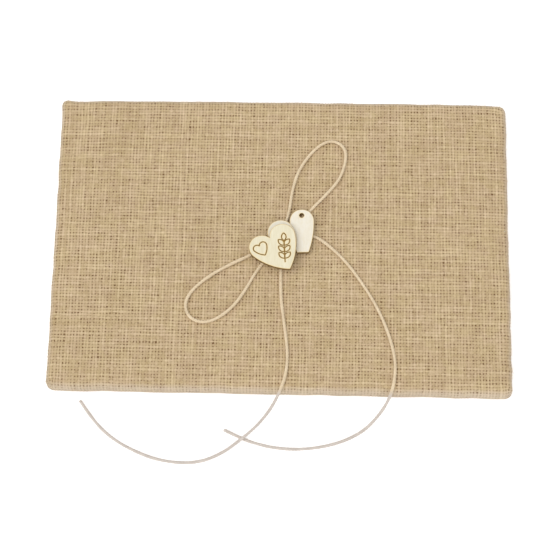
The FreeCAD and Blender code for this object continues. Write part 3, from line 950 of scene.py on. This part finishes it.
def make_closing(front, back, material):
    """Whip stitches that close the gap in the back edge."""
    low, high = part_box("closing_stitches")
    middle_x = front[:, front.shape[1] // 2, 0]
    points, faces = [], []
    for i in range(CLOSING_STITCHES):
        x = low.x + (high.x - low.x) * i / (CLOSING_STITCHES - 1)
        column = int(np.argmin(abs(middle_x - x)))
        upper, lower = front[column, :-14:-1], back[column, :-14:-1]
        top_y = float(np.interp(high.z, upper[:, 2], upper[:, 1]))
        bottom_y = float(np.interp(-low.z, -lower[:, 2], lower[:, 1]))
        lean = 1.3 * MM
        line = [(x, top_y - 0.35 * MM, high.z + 0.1 * MM),
                (x + 0.1 * lean, top_y + 0.12 * MM, high.z),
                (x + 0.35 * lean, top_y + 0.30 * MM, SEAM + 0.5 * MM),
                (x + 0.65 * lean, bottom_y + 0.30 * MM, SEAM - 0.5 * MM),
                (x + 0.9 * lean, bottom_y + 0.12 * MM, low.z),
                (x + lean, bottom_y - 0.35 * MM, low.z - 0.1 * MM)]
        add_tube(points, faces, line, [0.22 * MM] * len(line), 6)
    belongs(add_mesh("closing_thread", points, faces, material), "thread", "closing_stitches")


def make_fibres(front, outward, material):
    """Loose jute fibres that stand off the cloth, most of them along its edges."""
    chance = np.random.default_rng(77)
    columns, rows = front.shape[:2]
    points, faces, weave = [], [], []
    for number in range(FIBRES):
        i, j = int(chance.integers(2, columns - 2)), int(chance.integers(2, rows - 2))
        edge = int(chance.integers(2, 11))
        if number % 5 < 4:
            if chance.uniform() < 0.6:
                j = edge if chance.uniform() < 0.4 else rows - 1 - edge
            else:
                i = edge if chance.uniform() < 0.5 else columns - 1 - edge
        root, out = front[i, j], outward[i, j]
        swing = chance.normal(0.0, 1.0, 3)
        flat = unit(swing - out * np.dot(swing, out))
        length = chance.uniform(0.6, 2.4) * MM
        rise = chance.uniform(0.15, 0.55)
        bend = unit(np.cross(out, flat)) * chance.uniform(-0.5, 0.5)
        line = [root - 0.15 * MM * out]
        for share in (0.25, 0.5, 0.75, 1.0):
            line.append(root + length * share * (flat + rise * share * out + bend * share) + 0.05 * MM * out)
        before = len(points)
        add_tube(points, faces, line, np.linspace(0.06, 0.03, 5) * MM, 4)
        weave += [(i / 2, j / 2, 0.0)] * (len(points) - before)
    piece = add_mesh("loose_fibres", points, faces, material, [("strand", weave)])
    belongs(piece, "burlap")


def make_tack(material):
    """Two turns of thread that sew the knot to the front panel."""
    low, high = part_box("tacking_stitch")
    reach = math.hypot(high.x, high.y) * 0.94
    points, faces = [], []
    for degrees, rise in ((136.0, 0.0), (143.0, 0.08 * MM)):
        way = np.array((math.cos(math.radians(degrees)), math.sin(math.radians(degrees)), 0.0))
        line = []
        for share, level in ((1.0, 10.4), (0.93, 12.0), (0.72, 13.6), (0.40, 14.15), (0.0, 14.25)):
            line.append(way * reach * share + np.array((0.0, 0.0, level * MM + rise)))
        line += [point * np.array((-1.0, -1.0, 1.0)) for point in line[-2::-1]]
        add_tube(points, faces, line, [0.2 * MM] * len(line), 6)
    belongs(add_mesh("tack_thread", points, faces, material), "thread", "tacking_stitch")


def make_pad():
    """The cover's two panels with their threads and fibres."""
    burlap, thread = burlap_material(), thread_material()
    front = lattice(1, panel_high.z - CROWN)
    back = lattice(-1, base_low.z + CROWN)
    up, down = simulated(front, back)
    front += capped(up, 1)
    back += capped(down, -1)
    as_cut(front)
    as_cut(back)
    woven, outward = make_panel("burlap_front", "front_panel", 1, front, burlap, 5)
    under, _ = make_panel("burlap_back", "back_panel", -1, back, burlap, 6)
    rim = rim_of(np.arange(front.shape[0] * front.shape[1]).reshape(front.shape[:2]))
    make_seam(front.reshape(-1, 3)[rim], thread)
    make_closing(woven, under, thread)
    make_fibres(woven, outward, fibre_material())
    make_tack(thread)


def paint(material, *names):
    """Gives CAD nodes a material."""
    for name in names:
        for place in nodes[name].material_slots:
            place.material = material


def paint_nodes():
    """Materials for the CAD nodes that stay."""
    front_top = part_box("front_heart")[1].z
    rear_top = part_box("rear_heart")[1].z
    tag_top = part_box("tag")[1].z
    paint(wood_material("natural_wood", srgb(234, 227, 202), srgb(221, 211, 180), front_top, None),
          "front_heart")
    paint(wood_material("white_wood_heart", srgb(238, 228, 202), srgb(222, 208, 176), rear_top,
                        srgb(230, 224, 208)), "rear_heart")
    paint(wood_material("white_wood_tag", srgb(238, 229, 206), srgb(222, 210, 182), tag_top,
                        srgb(236, 230, 216)), "tag")
    paint(lining_material(), "front_lining", "back_lining")
    paint(foam_material(), "foam_pad")
    paint(board_material(), "stiffener_board")
    paint(glue_material(), "glue_rear_heart", "glue_front_heart", "glue_tag")


# ---------------------------------------------------------------- the studio

WORLD_LIGHT = 0.60
WORLD_SEEN = 1.1
KEY_LIGHT = 1.35
FILL_LIGHT = 0.5
FLOOR_REACH = 6.0


def make_floor():
    """A flat sheet under the pad that reaches past every view."""
    far = FLOOR_REACH
    floor = add_mesh("floor", [(-far, -far, 0), (far, -far, 0), (far, far, 0), (-far, far, 0)],
                     [(0, 1, 2, 3)], floor_material(), smooth=False)


def add_sun(name, towards, strength, spread, colour):
    """A soft sun: light from one side, even over the whole floor."""
    lamp = bpy.data.lights.new(name, "SUN")
    lamp.energy = strength
    lamp.angle = math.radians(spread)
    lamp.color = colour
    light = bpy.data.objects.new(name, lamp)
    light.rotation_euler = Vector(towards).to_track_quat("Z", "Y").to_euler()
    scene.collection.objects.link(light)


def make_world():
    """White surroundings. The camera sees them as pure white, so the floor has no horizon."""
    world = bpy.data.worlds.new("studio")
    world.use_nodes = True
    tree = world.node_tree
    shown = tree.nodes["Background"]
    shown.inputs["Color"].default_value = (1.0, 1.0, 1.0, 1.0)
    path = tree.nodes.new("ShaderNodeLightPath")
    strength = tree.nodes.new("ShaderNodeMapRange")
    strength.inputs["To Min"].default_value = WORLD_LIGHT
    strength.inputs["To Max"].default_value = WORLD_SEEN
    tree.links.new(path.outputs["Is Camera Ray"], strength.inputs["Value"])
    tree.links.new(strength.outputs[0], shown.inputs["Strength"])
    scene.world = world


def make_studio():
    """White floor, white surroundings and two large soft lights."""
    make_floor()
    make_world()
    add_sun("key", (-0.38, -0.30, 1.0), KEY_LIGHT, 50.0, (1.0, 0.99, 0.97))
    add_sun("fill", (0.30, -0.55, 0.8), FILL_LIGHT, 80.0, (0.98, 0.99, 1.0))
    scene.view_settings.view_transform = "Standard"


make_camera()
make_twine()
make_pad()
paint_nodes()
make_studio()
